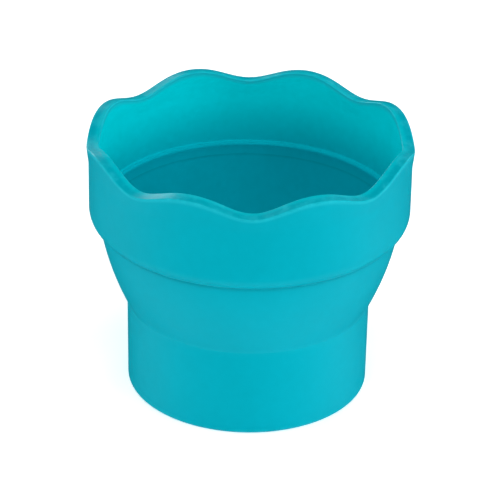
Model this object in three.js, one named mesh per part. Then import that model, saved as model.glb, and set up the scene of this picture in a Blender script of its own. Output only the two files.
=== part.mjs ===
// A collapsible water cup, moulded in one piece of soft plastic.
// A thick collar with a scalloped rim and a thick base cup are joined by a thin conical web.
// Pressing the collar down turns the web inside out between its two living hinges, so that the
// base ends up inside the collar. The web is cut into nested rings by upright cylinders: each
// ring slides its own share of the travel, and no ring meets another at any height.
// Millimetres, +Z up. The origin is on the axis, on the surface that the cup stands on.
import * as THREE from "three";

// Collar and rim
const collarRadius = 48.4; // outside of the upright wall
const collarWall = 2.8;
const collarHeight = 23.1; // from the ledge inside the upper hinge to the rim's mean height
const shoulderHeight = 5; // from the upper crease to where the outside turns upright
const rimDepth = 9.5; // height of the band that carries the scallops, below the mean height
const rimFlare = 0.6; // how far the rim's outer edge stands out of the wall
const rimLip = 0.5; // how far the rim's inner edge stands in from the wall
const rimEdge = 0.5; // rounding of both edges
const rimFall = 0.46; // the rim's face is lower at its outer edge by this
const waveCount = 8;
const waveDepth = 4.05; // from a crest to the valley beside it, where a brush lies

// Web and its hinges
const webRise = 26.4; // from the lower crease to the upper one
const webInset = 8.45; // how far the web narrows on the way down
const webBow = 0.95; // how far its outside bulges from a straight cone
const webWall = 1.5;
const hingeWidth = 0.6; // radial width of each living hinge
const ledgeWidth = 0.2; // inside step between the collar's wall and the upper hinge
const ledgeRise = 3.4; // from the upper crease to the ledge
const ringCount = 6;
const ringClearance = 0.1; // radial gap between rings that slide past each other

// Base cup
const baseHeight = 28; // from the table to the lower crease
const baseWall = 1.9;
const baseDraft = 0.15; // how far the outside narrows from the crease to the foot
const bandHeight = 0.4; // upright band under the lower crease
const floorThickness = 1.8;
const floorFillet = 3;
const footHeight = 1.6; // the floor is clear of the table by this
const footWidth = 4.2;
const footEdge = 1.4; // rounding of the outside bottom edge
const gateRadius = 3; // shallow round mark under the floor, where the mould was filled
const gateDepth = 0.5;

// Facets round the axis; the rim has a whole number of facets to each half wave
const facets = 64;
const rimFacets = 12 * waveCount;
const arcSteps = 4;

// Heights and radii that follow from the sizes above
const creaseRadius = collarRadius - collarWall - ledgeWidth;
const baseRadius = creaseRadius - webInset;
const creaseZ = baseHeight + webRise;
const ledgeZ = creaseZ + ledgeRise;
const wallRadius = creaseRadius + ledgeWidth;
const shoulderTop = Math.max(ledgeZ, creaseZ + shoulderHeight) + 1;
const rimMeanZ = ledgeZ + collarHeight;
const rimBaseZ = rimMeanZ - rimDepth;
const footRadius = baseRadius - baseDraft;
const floorTop = footHeight + floorThickness;
const bandZ = baseHeight - bandHeight;

const plastic = () =>
  new THREE.MeshStandardMaterial({ color: 0x00a9bb, roughness: 0.45, metalness: 0 });

const cup = new THREE.Group();

// A point of a section: its distance from the axis and its height.
const at = (radius, height) => new THREE.Vector2(radius, height);

// Points along a circle's arc, from one angle to another, both ends included.
function arc(centre, radius, from, to, steps = arcSteps) {
  return Array.from({ length: steps + 1 }, (_, i) => {
    const angle = from + ((to - from) * i) / steps;
    return at(centre.x + radius * Math.cos(angle), centre.y + radius * Math.sin(angle));
  });
}

// The section's points run anticlockwise in (radius, height), and are closed here unless it
// starts and ends on the axis.
function turned(name, section, count = facets) {
  const onAxis = section[0].x === 0 && section.at(-1).x === 0;
  const profile = onAxis ? section : [...section, section[0].clone()];
  const geometry = new THREE.LatheGeometry(profile, count).rotateX(Math.PI / 2);
  const mesh = new THREE.Mesh(geometry, plastic());
  mesh.name = name;
  cup.add(mesh);
  return mesh;
}

// The web's outside is an arc through both creases, and its inside is the concentric arc one
// wall nearer to the centre.
const chord = Math.hypot(webInset, webRise);
const webArc = chord ** 2 / (8 * webBow) + webBow / 2;
const webCentre = at(
  (baseRadius + creaseRadius) / 2 - (webRise / chord) * (webArc - webBow),
  (baseHeight + creaseZ) / 2 + (webInset / chord) * (webArc - webBow),
);

// Height at which an arc about the web's centre reaches a radius, or the ledge if it lies higher.
function webHeight(arcRadius, radius) {
  const across = radius - webCentre.x;
  const drop = Math.sqrt(Math.max(arcRadius ** 2 - across ** 2, 0));
  return Math.min(webCentre.y - drop, ledgeZ);
}
const outsideZ = (radius) => webHeight(webArc, radius);
const insideZ = (radius) => webHeight(webArc - webWall, radius);

// The web's inside at a height.
function insideRadius(height) {
  return webCentre.x + Math.sqrt((webArc - webWall) ** 2 - (webCentre.y - height) ** 2);
}

// A slice of the web between two upright cylinders.
function webSlice(inner, outer) {
  const middle = (inner + outer) / 2;
  return [
    at(inner, outsideZ(inner)),
    at(middle, outsideZ(middle)),
    at(outer, outsideZ(outer)),
    at(outer, insideZ(outer)),
    at(middle, insideZ(middle)),
    at(inner, insideZ(inner)),
  ];
}

function footRing() {
  const inner = footRadius - footWidth;
  const corner = at(footRadius - footEdge, footEdge);
  turned("foot_ring", [
    at(inner, 0),
    ...arc(corner, footEdge, -Math.PI / 2, 0, 3),
    at(footRadius, footHeight),
    at(inner, footHeight),
  ]);
}

const floorRadius = footRadius - baseWall - floorFillet;

function floorDisc() {
  const gateTop = footHeight + gateDepth;
  turned("floor_disc", [
    at(0, gateTop),
    at(gateRadius, gateTop),
    at(gateRadius, footHeight),
    at(floorRadius, footHeight),
    at(floorRadius, floorTop),
    at(0, floorTop),
  ]);
}

function baseCupWall() {
  const corner = at(floorRadius, floorTop + floorFillet);
  turned("base_wall", [
    at(floorRadius, footHeight),
    at(footRadius, footHeight),
    at(baseRadius, bandZ),
    at(baseRadius - baseWall, bandZ),
    ...arc(corner, floorFillet, 0, -Math.PI / 2),
  ]);
}

const firstCut = baseRadius + hingeWidth;
const lastCut = creaseRadius - hingeWidth;
const ringPitch = (lastCut - firstCut) / ringCount;

// The lower hinge carries the web's inside down to the wall of the base cup.
function lowerHinge() {
  const slice = webSlice(baseRadius, firstCut - ringClearance / 2);
  const normal = at(webCentre.x - baseRadius, webCentre.y - baseHeight).normalize();
  turned("lower_hinge", [
    at(baseRadius - baseWall, bandZ),
    at(baseRadius, bandZ),
    ...slice.slice(0, 5),
    at(baseRadius, insideZ(baseRadius)),
    at(baseRadius + normal.x * webWall, baseHeight + normal.y * webWall),
  ]);
}

function foldRings() {
  for (let i = 0; i < ringCount; i++) {
    const inner = firstCut + i * ringPitch + ringClearance / 2;
    turned(`fold_ring_${i + 1}`, webSlice(inner, inner + ringPitch - ringClearance));
  }
}

// The upper hinge is capped by the ledge, which the web's inside reaches short of the crease.
function upperHinge() {
  const inner = lastCut + ringClearance / 2;
  const reach = Math.min(insideRadius(ledgeZ), creaseRadius);
  turned("upper_hinge", [
    at(inner, outsideZ(inner)),
    at(creaseRadius, creaseZ),
    at(creaseRadius, ledgeZ),
    at(Math.max(reach, inner + ringClearance), ledgeZ),
    at(inner, insideZ(inner)),
  ]);
}

// The shoulder's outside is an arc from the crease that ends upright, on the collar's wall.
function shoulder() {
  const inset = collarRadius - creaseRadius;
  const radius = (inset ** 2 + shoulderHeight ** 2) / (2 * inset);
  const centre = at(collarRadius - radius, creaseZ + shoulderHeight);
  const start = Math.atan2(-shoulderHeight, radius - inset);
  turned("shoulder", [
    ...arc(centre, radius, start, 0, 2 * arcSteps),
    at(collarRadius, shoulderTop),
    at(wallRadius, shoulderTop),
    at(wallRadius, ledgeZ),
    at(creaseRadius, ledgeZ),
  ]);
}

function collar() {
  turned("collar", [
    at(wallRadius, shoulderTop),
    at(collarRadius, shoulderTop),
    at(collarRadius, rimBaseZ),
    at(wallRadius, rimBaseZ),
  ]);
}

// Raises and lowers the rim's points by the wave, fully at its top and not at all at its base.
// A valley lies on each axis.
function addWave(geometry) {
  const position = geometry.getAttribute("position");
  for (let i = 0; i < position.count; i++) {
    const angle = Math.atan2(position.getY(i), position.getX(i));
    const share = (position.getZ(i) - rimBaseZ) / rimDepth;
    const lift = (-waveDepth / 2) * Math.cos(waveCount * angle) * share;
    position.setZ(i, position.getZ(i) + lift);
  }
}

function rim() {
  const outer = collarRadius + rimFlare;
  const inner = wallRadius - rimLip;
  const outerTop = rimMeanZ - rimFall;
  const mesh = turned(
    "rim",
    [
      at(wallRadius, rimBaseZ),
      at(collarRadius, rimBaseZ),
      at(collarRadius + rimFlare / 3, rimBaseZ + rimDepth / 2),
      at(outer, outerTop - rimEdge),
      at(outer - rimEdge, outerTop),
      at(inner + rimEdge, rimMeanZ),
      at(inner, rimMeanZ - rimEdge),
      at(wallRadius - rimLip / 3, rimBaseZ + rimDepth / 2),
    ],
    rimFacets,
  );
  addWave(mesh.geometry);
}

footRing();
floorDisc();
baseCupWall();
lowerHinge();
foldRings();
upperHinge();
shoulder();
collar();
rim();

export default cup;
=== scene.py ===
"""Collapsible cup: a soft turquoise moulding with a wavy rim and a side that turns inside out.

Run inside Blender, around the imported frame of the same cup.
"""
import math

import bpy
import numpy as np
from bpy.props import FloatProperty, FloatVectorProperty, IntProperty, PointerProperty
from bpy.types import Operator, Panel, PropertyGroup
from mathutils import Matrix, Vector


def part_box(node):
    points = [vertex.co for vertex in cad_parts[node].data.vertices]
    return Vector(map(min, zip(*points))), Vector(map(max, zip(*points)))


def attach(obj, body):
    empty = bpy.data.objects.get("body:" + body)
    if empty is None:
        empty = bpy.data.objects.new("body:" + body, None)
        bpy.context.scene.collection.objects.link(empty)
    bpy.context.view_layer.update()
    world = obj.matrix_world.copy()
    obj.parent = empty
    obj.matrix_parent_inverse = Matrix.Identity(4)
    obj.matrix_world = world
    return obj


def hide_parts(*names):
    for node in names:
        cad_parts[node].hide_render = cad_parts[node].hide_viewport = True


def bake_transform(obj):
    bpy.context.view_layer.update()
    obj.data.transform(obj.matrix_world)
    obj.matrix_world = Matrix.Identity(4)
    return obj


bl_info = {
    "name": "Collapsible Cup",
    "version": (1, 0, 0),
    "blender": (4, 5, 0),
    "location": "View3D > Sidebar > Cup",
    "description": "Builds a soft collapsible cup with a wavy rim around its packed frame",
    "category": "Add Mesh",
}

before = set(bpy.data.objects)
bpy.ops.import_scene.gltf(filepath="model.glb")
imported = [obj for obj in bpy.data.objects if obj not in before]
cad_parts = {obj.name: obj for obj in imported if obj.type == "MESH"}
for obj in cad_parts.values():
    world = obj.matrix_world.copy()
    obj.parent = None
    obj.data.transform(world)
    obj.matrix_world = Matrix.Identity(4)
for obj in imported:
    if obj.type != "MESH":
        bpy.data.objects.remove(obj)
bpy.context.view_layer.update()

MM = 0.001
FOLD_RINGS = sorted(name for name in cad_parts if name.startswith("fold_ring_"))


def outer_radius(node):
    """How far a node reaches from the axis."""
    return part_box(node)[1].x


def lowest(node):
    """The height of a node's lowest point."""
    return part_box(node)[0].z


def highest(node):
    """The height of a node's highest point."""
    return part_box(node)[1].z


# ---------------------------------------------------------------------------------------------
# What a user would change


def length(name, description, default):
    """A size in metres, shown in the user's own unit."""
    return FloatProperty(name=name, description=description, default=default, min=0.0,
                         precision=5, subtype="DISTANCE", unit="LENGTH")


def fraction(name, description, default):
    """A plain number from 0 to 1."""
    return FloatProperty(name=name, description=description, default=default, min=0, max=1)


def tint(name, description, default):
    """A colour of three linear channels."""
    return FloatVectorProperty(name=name, description=description, default=default,
                               subtype="COLOR", size=3, min=0, max=1)


class CupSizes(PropertyGroup):
    """Sizes of the moulding. Those that the frame holds start from it."""

    rim_radius: length("Rim radius", "Outside of the rim", outer_radius("rim"))
    rim_crest: length("Crest height", "Top of the rim's crests", highest("rim"))
    rim_start: length("Rim start", "Height where the waves begin", highest("collar"))
    wave_depth: length("Wave depth", "From a crest to the valley beside it", 4.05 * MM)
    wave_fullness: FloatProperty(name="Wave fullness", description="How much broader the "
                                 "crests are than the valleys", default=0.07, min=0, max=0.25)
    wave_count: IntProperty(name="Waves", description="Waves round the rim", default=8, min=0)
    rim_lip: length("Rim lip", "How far the rim's inner edge stands in", 0.5 * MM)
    rim_fall: length("Rim fall", "How much lower the rim's outer edge is", 0.46 * MM)
    rim_round: length("Rim rounding", "Rounding of the rim's two edges", 0.4 * MM)
    flare_rise: length("Flare rise", "Height above the rim's start where it widens", 3 * MM)
    flare_round: length("Flare rounding", "Rounding where the rim widens", 20 * MM)

    collar_radius: length("Collar radius", "Outside of the collar", outer_radius("collar"))
    collar_wall: length("Collar wall", "Thickness of the collar", 2.8 * MM)
    ledge_height: length("Ledge height", "Height of the step inside", highest("upper_hinge"))
    ledge_stand: length("Ledge overhang", "How far the step stands in from the side", 0.35 * MM)
    ledge_round: length("Ledge rounding", "Rounding of the step's edge", 0.8 * MM)
    ledge_fillet: length("Ledge fillet", "Rounding where the wall meets the step", 0.6 * MM)
    ledge_ease: length("Ledge easing", "Rounding from under the step into the side", 14 * MM)
    ease_rise: length("Easing height", "Middle of that rounding above the crease", 1.2 * MM)
    shoulder_top: length("Shoulder top", "Where the shoulder ends", highest("shoulder"))
    shoulder_rise: length("Shoulder rise", "From the crease to the upright wall", 5.0 * MM)

    crease_radius: length("Crease radius", "Upper crease", outer_radius("upper_hinge"))
    crease_height: length("Crease height", "Upper crease", lowest("shoulder"))
    crease_round: length("Crease rounding", "Rounding of the upper crease", 0.9 * MM)
    web_bow: length("Web bow", "How far the side bulges from a cone", 0.95 * MM)
    web_wall: length("Web wall", "Thickness of the side that folds", 1.5 * MM)

    base_radius: length("Base radius", "Lower crease", outer_radius("base_wall"))
    base_height: length("Base height", "Lower crease", highest("base_wall") + 0.4 * MM)
    base_round: length("Neck rounding", "Rounding of the lower crease", 1.0 * MM)
    neck_drop: length("Neck drop", "How far the side runs down over the base cup", 2.5 * MM)
    lip_rise: length("Lip rise", "How far the base cup's lip stands over the crease", 0.3 * MM)
    lip_round: length("Lip rounding", "Rounding inside the base cup's lip", 0.8 * MM)
    base_wall: length("Base wall", "Thickness of the base cup's wall", 1.9 * MM)
    foot_radius: length("Foot radius", "Outside of the foot", outer_radius("foot_ring"))
    foot_height: length("Foot height", "Gap between the floor and the table",
                        highest("foot_ring"))
    foot_width: length("Foot width", "Width of the foot ring", 4.2 * MM)
    foot_round: length("Foot rounding", "Rounding of the foot's outer edge", 1.4 * MM)
    foot_inner_round: length("Foot inner rounding", "Rounding of its inner edge", 0.6 * MM)
    floor_top: length("Floor top", "Height of the floor inside", highest("floor_disc"))
    floor_round: length("Floor rounding", "Rounding where floor meets wall", 3.0 * MM)
    gate_radius: length("Gate radius", "Round mark under the floor", 3.0 * MM)
    gate_depth: length("Gate depth", "Depth of that mark", 0.5 * MM)
    gate_round: length("Gate rounding", "Rounding of that mark's edges", 0.2 * MM)
    gate_draft: length("Gate draft", "How much wider that mark is at its mouth", 0.1 * MM)


class CupFinish(PropertyGroup):
    """Colour and surface of the plastic."""

    plastic: tint("Plastic", "Colour all through", (0.0, 0.42, 0.53))
    # Painted light: a paler colour inside the collar, near the rim, that stands in for light
    # there.
    inside: tint("Plastic inside", "Colour inside the collar", (0.0, 0.84, 0.92))
    # This pale colour serves worn places and the painted highlights on the rim's edges.
    pale: tint("Worn plastic", "Colour of rubbed places", (0.02, 0.56, 0.66))
    roughness: fraction("Roughness", "Roughness of the moulded surface", 0.32)
    sheen: fraction("Sheen", "How strongly the surface mirrors", 0.09)
    sheen_tint: tint("Sheen tint", "Colour of what it mirrors", (0.03, 0.85, 1.0))

    cloud: length("Clouds", "Width of the slow changes of colour", 28 * MM)
    mottle: length("Mottling", "Width of the fine changes of colour", 2.6 * MM)
    variation: fraction("Variation", "How much both darken the colour", 0.07)
    grain: length("Grain", "Width of the surface's fine grain", 0.45 * MM)
    grain_depth: length("Grain depth", "Depth of that grain", 0.022 * MM)
    draw_mark: length("Draw marks", "Width of the upright marks", 0.9 * MM)
    sink: length("Sinks", "Width of the shallow dips in the walls", 14 * MM)
    sink_depth: length("Sink depth", "Depth of those dips", 0.05 * MM)
    scratch: length("Scratches", "Size of the bends in the scratches", 6 * MM)

    rim_wear: fraction("Rim wear", "How pale the rim's top is rubbed", 0.5)
    # Painted highlights: pale lines along the rim's two rounded edges.
    edge_highlight: fraction("Edge wear", "How pale the rim's two edges are rubbed", 0.45)
    foot_wear: fraction("Foot wear", "How pale the foot is rubbed", 0.9)
    neck_wear: fraction("Neck wear", "How pale folding has made the lower crease", 0.08)
    scratch_wear: fraction("Scratch wear", "How pale scratches are", 0.5)
    # Painted shade in the upper crease.
    crease_shade: fraction("Crease_shade", "How dark the upper crease is", 0.18)


class CupStage(PropertyGroup):
    """Camera, floor and lights."""

    elevation: FloatProperty(name="Elevation", description="Camera above level",
                             subtype="ANGLE", default=math.radians(27.98))
    azimuth: FloatProperty(name="Azimuth", description="Camera round the cup, from the front",
                           subtype="ANGLE", default=math.radians(-1.1))
    roll: FloatProperty(name="Roll", description="Camera turned about its line of sight",
                        subtype="ANGLE", default=math.radians(1.05))
    distance: length("Distance", "From the camera to what it looks at", 0.86)
    lens: FloatProperty(name="Lens", description="Focal length in millimetres on a 36 mm sensor",
                        default=203.7)
    aim_side: length("Aim sideways", "How far right of the axis the camera looks", 0.33 * MM)
    aim_height: length("Aim height", "Height that the camera looks at", 42.96 * MM)
    floor_colour: tint("Floor", "Colour of the floor", (0.95, 0.95, 0.95))
    floor_side: length("Floor size", "Side of the floor", 1.8)
    floor_glow: FloatProperty(name="Floor glow", description="Light that the table itself gives",
                              default=0.48, min=0)
    box_distance: length("Light distance", "From the cup to each soft light", 1.3)
    box_side: length("Light size", "Side of each soft light", 0.7)


# ---------------------------------------------------------------------------------------------
# Outlines: half a section of the cup, as distance from the axis and height

# Room left at a seam, so that arcs and skins that meet there never cross
SEAM_ROOM = 0.05 * MM
# The share that an arc takes of a stretch it could fill, so that it never folds back
ARC_SHARE = 0.999
# The same for the folding side's long arc, which leaves room for both creases' roundings
WEB_ARC = 0.88
# How far the shoulder reaches down inside the folding side
SHOULDER_OVERLAP = 0.25 * MM


def unit(vector):
    """A vector divided by its own length."""
    return vector / np.linalg.norm(vector)


def straight(start, end, step):
    """Points from start up to, but not including, end, no further apart than step."""
    start, end = np.array(start, float), np.array(end, float)
    count = max(1, math.ceil(np.linalg.norm(end - start) / step - 1e-9))
    share = np.arange(count)[:, None] / count
    return start + (end - start) * share


def rounded(corners, step=0.7 * MM, turn=math.radians(6), closed=True):
    """A chain of straight stretches whose corners are arcs.

    Each corner is (distance, height, rounding). The arc of that radius touches the stretches
    before and after the corner, tan(half the turn) x radius away from it, and its points lie
    at equal angles. Returns the points, and which of them are sharp corners.
    """
    places = np.array([corner[:2] for corner in corners], float)
    radii = [corner[2] for corner in corners]
    count = len(corners)
    begins, ends, arcs = [], [], []
    for i in range(count):
        here = places[i]
        inner = closed or 0 < i < count - 1
        if radii[i] == 0 or not inner:
            begins.append(here)
            ends.append(here)
            arcs.append(here[None])
            continue
        before = unit(places[i - 1] - here)
        after = unit(places[(i + 1) % count] - here)
        bend = math.pi - math.acos(np.clip(before @ after, -1, 1))
        reach = radii[i] * math.tan(bend / 2)
        centre = here + unit(before + after) * math.hypot(radii[i], reach)
        first, last = here + before * reach - centre, here + after * reach - centre
        steps = max(2, math.ceil(bend / turn))
        share = np.linspace(0, 1, steps + 1)[:, None]
        fan = (first * np.sin((1 - share) * bend) + last * np.sin(share * bend)) / math.sin(bend)
        begins.append(centre + first)
        ends.append(centre + last)
        arcs.append(centre + fan)
    points, sharp = [], []
    for i in range(count):
        points.append(arcs[i])
        sharp.append(np.full(len(arcs[i]), len(arcs[i]) == 1))
        if i < count - 1 or closed:
            run = straight(ends[i], begins[(i + 1) % count], step)[1:]
            points.append(run)
            sharp.append(np.zeros(len(run), bool))
    return np.concatenate(points), np.concatenate(sharp)


# ---------------------------------------------------------------------------------------------
# Surfaces


def mean_rim(sizes):
    """The rim's height halfway between crests and valleys."""
    return sizes.rim_crest - sizes.wave_depth / 2


def wave_lift(angle, height, sizes):
    """How far the rim's wave moves a point up.

    Minus half the depth times the cosine of wave_count turns, so a valley lies on each axis,
    with wave_fullness of twice as many turns taken away, which broadens the crests. It fades in
    over the rim's height as 3s^2 - 2s^3, where s goes from 0 at rim_start to 1 at the rim's
    mean height.
    """
    rise = np.clip((height - sizes.rim_start) / (mean_rim(sizes) - sizes.rim_start), 0, 1)
    fade = rise * rise * (3 - 2 * rise)
    turns = sizes.wave_count * angle
    wave = -np.cos(turns) + sizes.wave_fullness * (1 - np.cos(2 * turns))
    return sizes.wave_depth / 2 * wave * fade


# Points round the axis, a multiple of the eight waves
AROUND = 320


def turned(name, outline, sizes, closed=True):
    """A surface of revolution with the rim's wave on it.

    A point at distance r and height z of the outline, at angle a, is
    (r cos a, r sin a, z + lift(a, z)). The outline runs anticlockwise in (r, z), which makes
    the faces point out. A point on the axis becomes one vertex, and the faces at it triangles.
    The mesh keeps where each point is at rest, as rest_place, and its (r, z), as outline_place,
    so that patterns stay with the surface when it moves.
    """
    points, sharp = outline
    angle = np.arange(AROUND) * (2 * math.pi / AROUND)
    r, z = points[:, :1], points[:, 1:]
    place = np.stack([r * np.cos(angle), r * np.sin(angle),
                      z + wave_lift(angle[None], z, sizes)], axis=-1)
    pole = points[:, 0] == 0
    kept = ~pole[:, None] | (np.arange(AROUND) == 0)
    number = (np.cumsum(kept) - 1).reshape(kept.shape)
    number[pole] = number[pole, :1]
    place = place[kept]
    ring = np.nonzero(kept)[0]

    here, there = (number, np.roll(number, -1, 0)) if closed else (number[:-1], number[1:])
    quads = np.stack([here, np.roll(here, -1, 1), np.roll(there, -1, 1), there], axis=-1)
    quads = quads.reshape(-1, 4)
    from_pole, to_pole = quads[:, 0] == quads[:, 1], quads[:, 2] == quads[:, 3]
    faces = (quads[~from_pole & ~to_pole].tolist() + quads[from_pole][:, 1:].tolist()
             + quads[to_pole][:, :3].tolist())

    mesh = bpy.data.meshes.new(name)
    mesh.from_pydata(place.tolist(), [], faces)
    mesh.polygons.foreach_set("use_smooth", np.ones(len(mesh.polygons), bool))
    ends = np.empty(len(mesh.edges) * 2, np.int32)
    mesh.edges.foreach_get("vertices", ends)
    rings = ring[ends.reshape(-1, 2)]
    crisp = (rings[:, 0] == rings[:, 1]) & sharp[rings[:, 0]]
    mesh.attributes.new("sharp_edge", "BOOLEAN", "EDGE").data.foreach_set("value", crisp)
    outline_place = np.column_stack([points, np.zeros(len(points))])[ring]
    for label, values in (("rest_place", place), ("outline_place", outline_place)):
        attribute = mesh.attributes.new(label, "FLOAT_VECTOR", "POINT")
        attribute.data.foreach_set("vector", values.astype(np.float32).ravel())
    piece = bpy.data.objects.new(name, mesh)
    bpy.context.scene.collection.objects.link(piece)
    return piece


def finish_piece(piece, *nodes):
    """Gives a piece the plastic, and hides the frame nodes that it stands for."""
    piece.data.materials.append(bpy.data.materials["satin_plastic"])
    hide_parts(*nodes)
    return piece


def web_line(sizes):
    """The outside of the folding side: low crease, corner, high crease and the corner's arc.

    A corner halfway, twice the bow out from the straight cone, is rounded by an arc that
    stands about one bow out. Its radius is half the chord / sin(half the turn).
    """
    low = np.array([sizes.base_radius, sizes.base_height])
    high = np.array([sizes.crease_radius, sizes.crease_height])
    chord = high - low
    span = np.linalg.norm(chord)
    out = np.array([chord[1], -chord[0]]) / span
    corner = (low + high) / 2 + out * 2 * sizes.web_bow
    half_turn = math.atan2(2 * sizes.web_bow, span / 2)
    return low, corner, high, WEB_ARC * (span / 2) / math.sin(half_turn)


def inside_web(sizes, height):
    """The point at a height on the inside of the folding side's top stretch, drawn on up."""
    _, corner, high, _ = web_line(sizes)
    along = unit(high - corner)
    start = high + np.array([-along[1], along[0]]) * sizes.web_wall
    return start + along * (height - start[1]) / along[1]


def shoulder_line(sizes):
    """The outside of the shoulder: where it leaves the folding side, its corner and its arc.

    The corner lies where the tangents of an arc from the crease to the upright wall would
    meet. The crease's own rounding takes rounding x tan(half the turn) of the first stretch,
    and the shoulder's arc takes the rest of it.
    """
    _, web_corner, crease, _ = web_line(sizes)
    inset = sizes.collar_radius - sizes.crease_radius
    radius = (inset ** 2 + sizes.shoulder_rise ** 2) / (2 * inset)
    lean = math.asin(min(1, sizes.shoulder_rise / radius))
    reach = radius * math.tan(lean / 2)
    corner = np.array([sizes.collar_radius, crease[1] + sizes.shoulder_rise - reach])
    along = unit(corner - crease)
    turn = math.acos(along @ unit(crease - web_corner))
    seam = crease + along * (sizes.crease_round * math.tan(turn / 2) + SEAM_ROOM)
    left = np.linalg.norm(corner - seam) - SEAM_ROOM
    return seam, corner, left / math.tan(lean / 2)


# ---------------------------------------------------------------------------------------------
# Materials


class Value:
    """A shader socket that can be used in arithmetic: each operator adds its Math node."""

    def __init__(self, shader, socket):
        self.shader = shader
        self.socket = socket

    def _math(self, operation, *values):
        node = self.shader.node("ShaderNodeMath", {"operation": operation},
                                dict(enumerate(values)))
        return Value(self.shader, node.outputs[0])

    def __add__(self, other):
        return self._math("ADD", self, other)

    def __radd__(self, other):
        return self._math("ADD", other, self)

    def __sub__(self, other):
        return self._math("SUBTRACT", self, other)

    def __rsub__(self, other):
        return self._math("SUBTRACT", other, self)

    def __mul__(self, other):
        return self._math("MULTIPLY", self, other)

    def __rmul__(self, other):
        return self._math("MULTIPLY", other, self)

    def distance(self, value):
        """How far from a value, never negative."""
        return self._math("ABSOLUTE", self - value)

    def between(self, low, high):
        """0 below low, 1 above high, and smooth in between."""
        node = self.shader.node("ShaderNodeMapRange", {"interpolation_type": "SMOOTHSTEP"},
                                {"Value": self, "From Min": low, "From Max": high})
        return Value(self.shader, node.outputs["Result"])

    def near(self, centre, reach):
        """1 at centre, fading to 0 at reach on either side of it."""
        return 1 - self.distance(centre).between(0, reach)


class Shader:
    """The nodes of one material."""

    def __init__(self, name):
        self.material = bpy.data.materials.new(name)
        self.material.use_nodes = True
        self.tree = self.material.node_tree
        self.tree.nodes.clear()

    def node(self, kind, settings, sockets):
        """Adds a node, makes its settings, and then fills or links its sockets."""
        node = self.tree.nodes.new(kind)
        for name, setting in settings.items():
            setattr(node, name, setting)
        for name, value in sockets.items():
            if isinstance(value, Value):
                self.tree.links.new(value.socket, node.inputs[name])
            else:
                node.inputs[name].default_value = value
        return node

    def value(self, kind, settings, sockets, output=0):
        """Adds a node and returns one of its outputs."""
        return Value(self, self.node(kind, settings, sockets).outputs[output])

    def attribute(self, name):
        """A vector that the mesh holds for each of its points."""
        return self.value("ShaderNodeAttribute",
                          {"attribute_type": "GEOMETRY", "attribute_name": name}, {}, "Vector")

    def noise(self, place, size, detail=2.0, stretch=(1, 1, 1)):
        """Clouds about size across, from 0 to 1."""
        scaled = self.value("ShaderNodeVectorMath", {"operation": "MULTIPLY"},
                            {0: place, 1: [axis / size for axis in stretch]})
        return self.value("ShaderNodeTexNoise", {}, {"Vector": scaled, "Scale": 1.0,
                                                     "Detail": detail, "Roughness": 0.55})

    def mix(self, factor, first, second):
        """From the first colour at 0 to the second at 1."""
        return self.value("ShaderNodeMix", {"data_type": "RGBA"},
                          {0: factor, 6: first, 7: second}, 2)


def with_alpha(colour):
    """A colour as the four numbers that a socket takes."""
    return (*colour, 1.0)


BLACK = (0, 0, 0, 1)
# What a noise mostly spans, and the upper parts of it that wear and handling take
NOISE_SPAN = (0.3, 0.7)
PATCHES = (0.42, 0.72)
HANDLED = (0.5, 0.75)
# Half the width of a scratch, as a step of the noise that it follows the middle of
SCRATCH_HALF = 0.0035


def rubbed_and_highlit_mask(sizes, finish, radius, height, patches):
    """How pale each place is painted, from 0 to about 1, by wear and by painted highlights.

    The rim's top and the foot are worn in patches. The rim's two edges carry painted highlights,
    lines at their distances from the axis, and the neck is a worn band at the lower crease.
    """
    line, band = 0.4 * MM, 1.6 * MM
    top = mean_rim(sizes)
    inset = sizes.rim_round * 0.3
    # Painted highlights: pale lines along the rim's two rounded edges.
    outer = radius.near(sizes.rim_radius - inset, line)
    inner = radius.near(sizes.collar_radius - sizes.collar_wall - sizes.rim_lip + inset, line)
    edges = (outer + inner) * height.between(top - 2 * MM, top - 1 * MM)
    rim = height.between(top - 1.5 * MM, top)
    foot = 1 - height.between(0.0, band)
    neck = height.near(sizes.base_height, band)
    return ((rim * finish.rim_wear + foot * finish.foot_wear) * patches
            + neck * finish.neck_wear + edges * finish.edge_highlight)


def inside_light_mask(sizes, radius, height):
    """Painted light: 1 on the inside of the collar near the rim, fading out down to the ledge.

    It also fades across the rim's top, and by most at its very edge.
    """
    below, edge_share = 12 * MM, 0.75
    top = mean_rim(sizes)
    middle = sizes.collar_radius - sizes.collar_wall / 2
    outside = radius.between(middle - 1 * MM, middle + 0.4 * MM)
    above = height.between(sizes.ledge_height - 0.5 * MM, sizes.ledge_height + 0.5 * MM)
    rise = height.between(sizes.ledge_height - below, top)
    edge = height.between(top - 1.2 * MM, top - 0.2 * MM)
    return (1 - outside) * above * rise * (1 - edge_share * edge)


def crease_shade_mask(sizes, radius, height):
    """Painted shade: 1 in the upper crease, on the outside only, and 0 from 1.2 mm away."""
    middle = sizes.crease_radius - sizes.web_wall / 2
    return (height.near(sizes.crease_height - 0.3 * MM, 1.2 * MM)
            * radius.between(middle, middle + 0.4 * MM))


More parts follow.
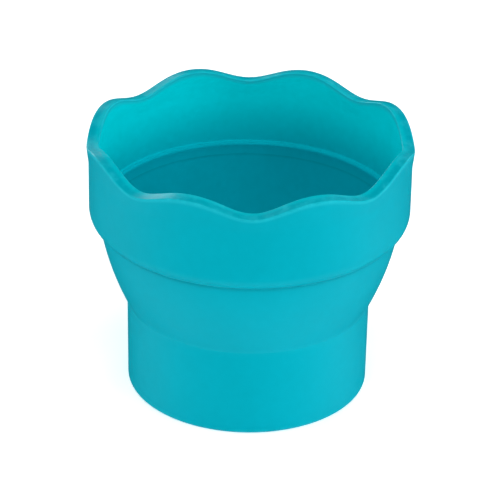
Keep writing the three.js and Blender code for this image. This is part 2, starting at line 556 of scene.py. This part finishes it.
def cup_plastic(sizes, finish):
    """Satin turquoise plastic, with painted light that makes it paler inside the collar, where
    light comes through it.

    Clouds a few centimetres across and a finer mottling shift the colour slightly, as regrind
    does. A fine grain from the mould's surface gives the satin, and the walls have shallow
    sinks. Upright draw marks, left as the part slid off its core, vary the gloss. Scratches
    run where a noise passes its middle value, in the clouds that hands have held. The rim's
    top, the foot and the neck are worn paler, the rim's two edges get painted highlights in
    the same pale colour, and painted shade darkens the upper crease.
    """
    shader = Shader("satin_plastic")
    place = shader.attribute("rest_place")
    outline = shader.attribute("outline_place")
    radius = shader.value("ShaderNodeSeparateXYZ", {}, {0: outline}, "X")
    height = shader.value("ShaderNodeSeparateXYZ", {}, {0: outline}, "Y")

    clouds = shader.noise(place, finish.cloud, 3.0)
    mottle = shader.noise(place, finish.mottle, 5.0)
    grain = shader.noise(place, finish.grain, 3.0)
    draw_marks = shader.noise(place, finish.draw_mark, 2.0, (1, 1, 0.04))
    sink = shader.noise(place, finish.sink, 1.0)
    scratch_line = shader.noise(place, finish.scratch, 6.0, (1, 1, 2.2))
    scratches = 1 - scratch_line.distance(0.5).between(0.0, SCRATCH_HALF)
    scratched = scratches * (clouds.between(*HANDLED) * 0.5)

    # Worn places, scratches and the painted highlights on the rim's edges, all in the pale colour.
    rubbed_and_highlit = (rubbed_and_highlit_mask(sizes, finish, radius, height, mottle.between(*PATCHES))
              + scratched * finish.scratch_wear)
    # Painted light: paler inside the collar near the rim, fading down to the ledge.
    plastic = shader.mix(inside_light_mask(sizes, radius, height),
                         with_alpha(finish.plastic), with_alpha(finish.inside))
    # Painted shade: the upper crease is mixed towards black.
    crease_shaded = shader.mix(crease_shade_mask(sizes, radius, height) * finish.crease_shade, plastic, BLACK)
    deeper = shader.mix(finish.variation, crease_shaded, BLACK)
    lightness = clouds.between(*NOISE_SPAN) * 0.6 + mottle.between(*NOISE_SPAN) * 0.4
    colour = shader.mix(rubbed_and_highlit, shader.mix(lightness, deeper, crease_shaded), with_alpha(finish.pale))

    roughness = finish.roughness - 0.05 + draw_marks * 0.08 + mottle * 0.05 + rubbed_and_highlit * 0.12
    relief = grain * finish.grain_depth + sink * finish.sink_depth
    bump = shader.value("ShaderNodeBump", {},
                        {"Height": relief - scratched * finish.grain_depth,
                         "Distance": 1.0, "Strength": 1.0})
    surface = shader.value("ShaderNodeBsdfPrincipled", {},
                           {"Base Color": colour, "Roughness": roughness, "Normal": bump,
                            "Specular IOR Level": finish.sheen,
                            "Specular Tint": with_alpha(finish.sheen_tint)})
    shader.node("ShaderNodeOutputMaterial", {}, {"Surface": surface})
    return shader.material


def stage_floor(stage):
    """Matt pale paper with a very faint mottle, which gives some light of its own."""
    mottle_size, mottle_shade = 60 * MM, 0.985
    shader = Shader("pale_floor")
    place = shader.value("ShaderNodeTexCoord", {}, {}, "Object")
    shaded = [channel * mottle_shade for channel in stage.floor_colour]
    colour = shader.mix(shader.noise(place, mottle_size),
                        with_alpha(stage.floor_colour), with_alpha(shaded))
    surface = shader.value("ShaderNodeBsdfPrincipled", {},
                           {"Base Color": colour, "Roughness": 0.9, "Specular IOR Level": 0.1,
                            "Emission Color": (1, 1, 1, 1), "Emission Strength": stage.floor_glow})
    shader.node("ShaderNodeOutputMaterial", {}, {"Surface": surface})
    return shader.material


# ---------------------------------------------------------------------------------------------
# Operators, one for each piece


class CUP_OT_plastic(Operator):
    """Make the cup's plastic"""

    bl_idname = "cup.plastic"
    bl_label = "Plastic"

    def execute(self, context):
        cup_plastic(context.scene.cup_sizes, context.scene.cup_finish)
        return {"FINISHED"}


class CUP_OT_rim(Operator):
    """Make the wavy rim"""

    bl_idname = "cup.rim"
    bl_label = "Rim"

    def execute(self, context):
        s = context.scene.cup_sizes
        inner_wall = s.collar_radius - s.collar_wall
        flare = s.rim_start + s.flare_rise
        outline = rounded([
            (inner_wall, s.rim_start, 0),
            (s.collar_radius, s.rim_start, 0),
            (s.collar_radius, flare, s.flare_round),
            (s.rim_radius, mean_rim(s) - s.rim_fall, s.rim_round),
            (inner_wall - s.rim_lip, mean_rim(s), s.rim_round),
            (inner_wall, flare, s.flare_round),
        ])
        rim = finish_piece(turned("wavy_rim", outline, s), "rim")
        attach(rim, "collar")
        return {"FINISHED"}


class CUP_OT_collar(Operator):
    """Make the collar's upright wall"""

    bl_idname = "cup.collar"
    bl_label = "Collar"

    def execute(self, context):
        s = context.scene.cup_sizes
        inner_wall = s.collar_radius - s.collar_wall
        outline = rounded([
            (inner_wall, s.shoulder_top, 0),
            (s.collar_radius, s.shoulder_top, 0),
            (s.collar_radius, s.rim_start, 0),
            (inner_wall, s.rim_start, 0),
        ])
        collar = finish_piece(turned("collar_wall", outline, s), "collar")
        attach(collar, "collar")
        return {"FINISHED"}


class CUP_OT_shoulder(Operator):
    """Make the rounded shoulder and the ledge inside it"""

    bl_idname = "cup.shoulder"
    bl_label = "Shoulder"

    def execute(self, context):
        s = context.scene.cup_sizes
        inner_wall = s.collar_radius - s.collar_wall
        seam, corner, radius = shoulder_line(s)
        ledge_edge = inside_web(s, s.ledge_height)[0] - s.ledge_stand
        easing = inside_web(s, s.crease_height + s.ease_rise)
        meeting = inside_web(s, s.crease_height - SHOULDER_OVERLAP)
        outline = rounded([
            (*seam, 0),
            (*corner, radius),
            (s.collar_radius, s.shoulder_top, 0),
            (inner_wall, s.shoulder_top, 0),
            (inner_wall, s.ledge_height, s.ledge_fillet),
            (ledge_edge, s.ledge_height, s.ledge_round),
            (*easing, s.ledge_ease),
            (*meeting, 0),
            (meeting[0] + s.web_wall / 2, meeting[1], 0),
        ], turn=math.radians(3))
        shoulder = finish_piece(turned("shoulder_ring", outline, s), "shoulder")
        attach(shoulder, "collar")
        return {"FINISHED"}


class CUP_OT_web(Operator):
    """Make the thin side that turns inside out, with both its hinges"""

    bl_idname = "cup.web"
    bl_label = "Folding side"

    def execute(self, context):
        s = context.scene.cup_sizes
        low, corner, high, radius = web_line(s)
        seam = shoulder_line(s)[0]
        outline = rounded([
            (s.base_radius, s.base_height - s.neck_drop, 0),
            (*low, s.base_round),
            (*corner, radius),
            (*high, s.crease_round),
            (*seam, 0),
        ], step=0.5 * MM, turn=math.radians(1), closed=False)
        web = turned("folding_side", outline, s, closed=False)
        wall = web.modifiers.new("wall", "SOLIDIFY")
        wall.thickness = s.web_wall
        wall.offset = -1
        wall.use_even_offset = True
        finish_piece(web, "lower_hinge", "upper_hinge", *FOLD_RINGS)
        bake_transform(web)
        return {"FINISHED"}


class CUP_OT_base(Operator):
    """Make the base cup's wall, rounded into its floor"""

    bl_idname = "cup.base"
    bl_label = "Base cup"

    def execute(self, context):
        s = context.scene.cup_sizes
        floor_edge = s.foot_radius - s.base_wall - s.floor_round
        seam_height = s.base_height - s.neck_drop
        behind_side = s.base_radius - s.web_wall / 2
        outline = rounded([
            (floor_edge, s.foot_height, 0),
            (s.foot_radius, s.foot_height, 0),
            (s.base_radius, seam_height, 0),
            (behind_side, seam_height, 0),
            (behind_side, s.base_height, 0),
            (s.base_radius - s.web_wall - SEAM_ROOM, s.base_height + s.lip_rise, 0),
            (s.base_radius - s.base_wall, s.base_height - s.lip_round, s.lip_round),
            (s.foot_radius - s.base_wall, s.floor_top, s.floor_round * ARC_SHARE),
            (floor_edge, s.floor_top, 0),
        ])
        wall = finish_piece(turned("base_cup_wall", outline, s), "base_wall")
        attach(wall, "base")
        return {"FINISHED"}


class CUP_OT_floor(Operator):
    """Make the floor, with a shallow gate mark under it"""

    bl_idname = "cup.floor"
    bl_label = "Floor"

    def execute(self, context):
        s = context.scene.cup_sizes
        edge = s.foot_radius - s.base_wall - s.floor_round
        gate_top = s.foot_height + s.gate_depth
        outline = rounded([
            (0, gate_top, 0),
            (s.gate_radius, gate_top, s.gate_round),
            (s.gate_radius + s.gate_draft, s.foot_height, s.gate_round),
            (edge, s.foot_height, 0),
            (edge, s.floor_top, 0),
            (0, s.floor_top, 0),
        ], step=1.5 * MM, closed=False)
        floor = finish_piece(turned("cup_floor", outline, s, closed=False), "floor_disc")
        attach(floor, "base")
        return {"FINISHED"}


class CUP_OT_foot(Operator):
    """Make the ring that the cup stands on"""

    bl_idname = "cup.foot"
    bl_label = "Foot"

    def execute(self, context):
        s = context.scene.cup_sizes
        inner = s.foot_radius - s.foot_width
        outline = rounded([
            (inner, 0, s.foot_inner_round),
            (s.foot_radius, 0, s.foot_round),
            (s.foot_radius, s.foot_height, 0),
            (inner, s.foot_height, 0),
        ], step=0.5 * MM)
        foot = finish_piece(turned("foot_rim", outline, s), "foot_ring")
        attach(foot, "base")
        return {"FINISHED"}


# The soft lights: degrees round the cup from the front, degrees above level, watts, and whether
# the plastic mirrors the light as a sheen
SOFT_LIGHTS = {
    "top": (0, 85, 3.4, False),
    "front": (0, 50, 5.9, True),
    "front_right": (50, 24, 4.9, False),
    "right": (95, 20, 5.2, False),
    "left": (-90, 20, 6.8, False),
    "back_right": (152, 14, 5.2, False),
    "back_left": (-152, 12, 5.6, True),
}


def soft_light(name, stage):
    """A square soft light that faces the cup."""
    azimuth, elevation, watts, sheen = SOFT_LIGHTS[name]
    around, up = math.radians(azimuth), math.radians(elevation)
    away = Vector((math.sin(around) * math.cos(up), -math.cos(around) * math.cos(up),
                   math.sin(up)))
    light = bpy.data.lights.new(name, "AREA")
    light.size = stage.box_side
    light.energy = watts
    lamp = bpy.data.objects.new(name, light)
    lamp.location = away * stage.box_distance + Vector((0, 0, stage.aim_height))
    lamp.rotation_euler = away.to_track_quat("Z", "Y").to_euler()
    lamp.visible_glossy = sheen
    bpy.context.scene.collection.objects.link(lamp)


def add_camera(stage):
    """A camera before the cup, raised by the elevation and turned by the roll."""
    scene = bpy.context.scene
    camera = bpy.data.objects.new("camera", bpy.data.cameras.new("camera"))
    scene.collection.objects.link(camera)
    camera.data.sensor_width = 36
    camera.data.lens = stage.lens
    camera.data.clip_start = 0.05
    camera.data.clip_end = 20
    right = Vector((math.cos(stage.azimuth), math.sin(stage.azimuth), 0))
    level = Vector((math.sin(stage.azimuth), -math.cos(stage.azimuth), 0))
    back = level * math.cos(stage.elevation) + Vector((0, 0, math.sin(stage.elevation)))
    up = back.cross(right)
    turn = math.cos(stage.roll), math.sin(stage.roll)
    axes = (right * turn[0] + up * turn[1], up * turn[0] - right * turn[1], back)
    aim = right * stage.aim_side + Vector((0, 0, stage.aim_height))
    pose = Matrix(axes).transposed().to_4x4()
    pose.translation = aim + back * stage.distance
    camera.matrix_world = pose
    scene.camera = camera


class CUP_OT_stage(Operator):
    """Make the floor, the lights and the camera"""

    bl_idname = "cup.stage"
    bl_label = "Stage"

    def execute(self, context):
        stage = context.scene.cup_stage
        scene = context.scene
        mesh = bpy.data.meshes.new("floor")
        half = stage.floor_side / 2
        corners = [(-half, -half, 0), (half, -half, 0), (half, half, 0), (-half, half, 0)]
        mesh.from_pydata(corners, [], [(0, 1, 2, 3)])
        ground = bpy.data.objects.new("floor", mesh)
        ground.data.materials.append(stage_floor(stage))
        scene.collection.objects.link(ground)
        ground.visible_glossy = False

        world = bpy.data.worlds.new("white_backdrop")
        world.color = (1, 1, 1)
        world.cycles_visibility.diffuse = False
        world.cycles_visibility.glossy = False
        scene.world = world
        scene.view_settings.view_transform = "Standard"
        for name in SOFT_LIGHTS:
            soft_light(name, stage)
        add_camera(stage)
        return {"FINISHED"}


class CUP_PT_panel(Panel):
    """The cup's pieces, sizes and finish"""

    bl_idname = "CUP_PT_panel"
    bl_label = "Collapsible cup"
    bl_space_type = "VIEW_3D"
    bl_region_type = "UI"
    bl_category = "Cup"

    def draw(self, context):
        for operator in PIECE_OPERATORS:
            self.layout.operator(operator.bl_idname)
        for group in (context.scene.cup_sizes, context.scene.cup_finish, context.scene.cup_stage):
            box = self.layout.box()
            for name in group.__annotations__:
                box.prop(group, name)


PIECE_OPERATORS = (CUP_OT_plastic, CUP_OT_rim, CUP_OT_collar, CUP_OT_shoulder, CUP_OT_web,
                   CUP_OT_base, CUP_OT_floor, CUP_OT_foot, CUP_OT_stage)
GROUPS = {"cup_sizes": CupSizes, "cup_finish": CupFinish, "cup_stage": CupStage}


def register():
    """Makes the classes and the groups of settings known."""
    for group in (*GROUPS.values(), *PIECE_OPERATORS, CUP_PT_panel):
        bpy.utils.register_class(group)
    for name, group in GROUPS.items():
        setattr(bpy.types.Scene, name, PointerProperty(type=group))


def unregister():
    """Takes them away again."""
    for name in GROUPS:
        delattr(bpy.types.Scene, name)
    for group in reversed((*GROUPS.values(), *PIECE_OPERATORS, CUP_PT_panel)):
        bpy.utils.unregister_class(group)


def main():
    """Builds every piece."""
    register()
    for operator in PIECE_OPERATORS:
        category, name = operator.bl_idname.split(".")
        getattr(getattr(bpy.ops, category), name)()


if __name__ == "__main__":
    main()
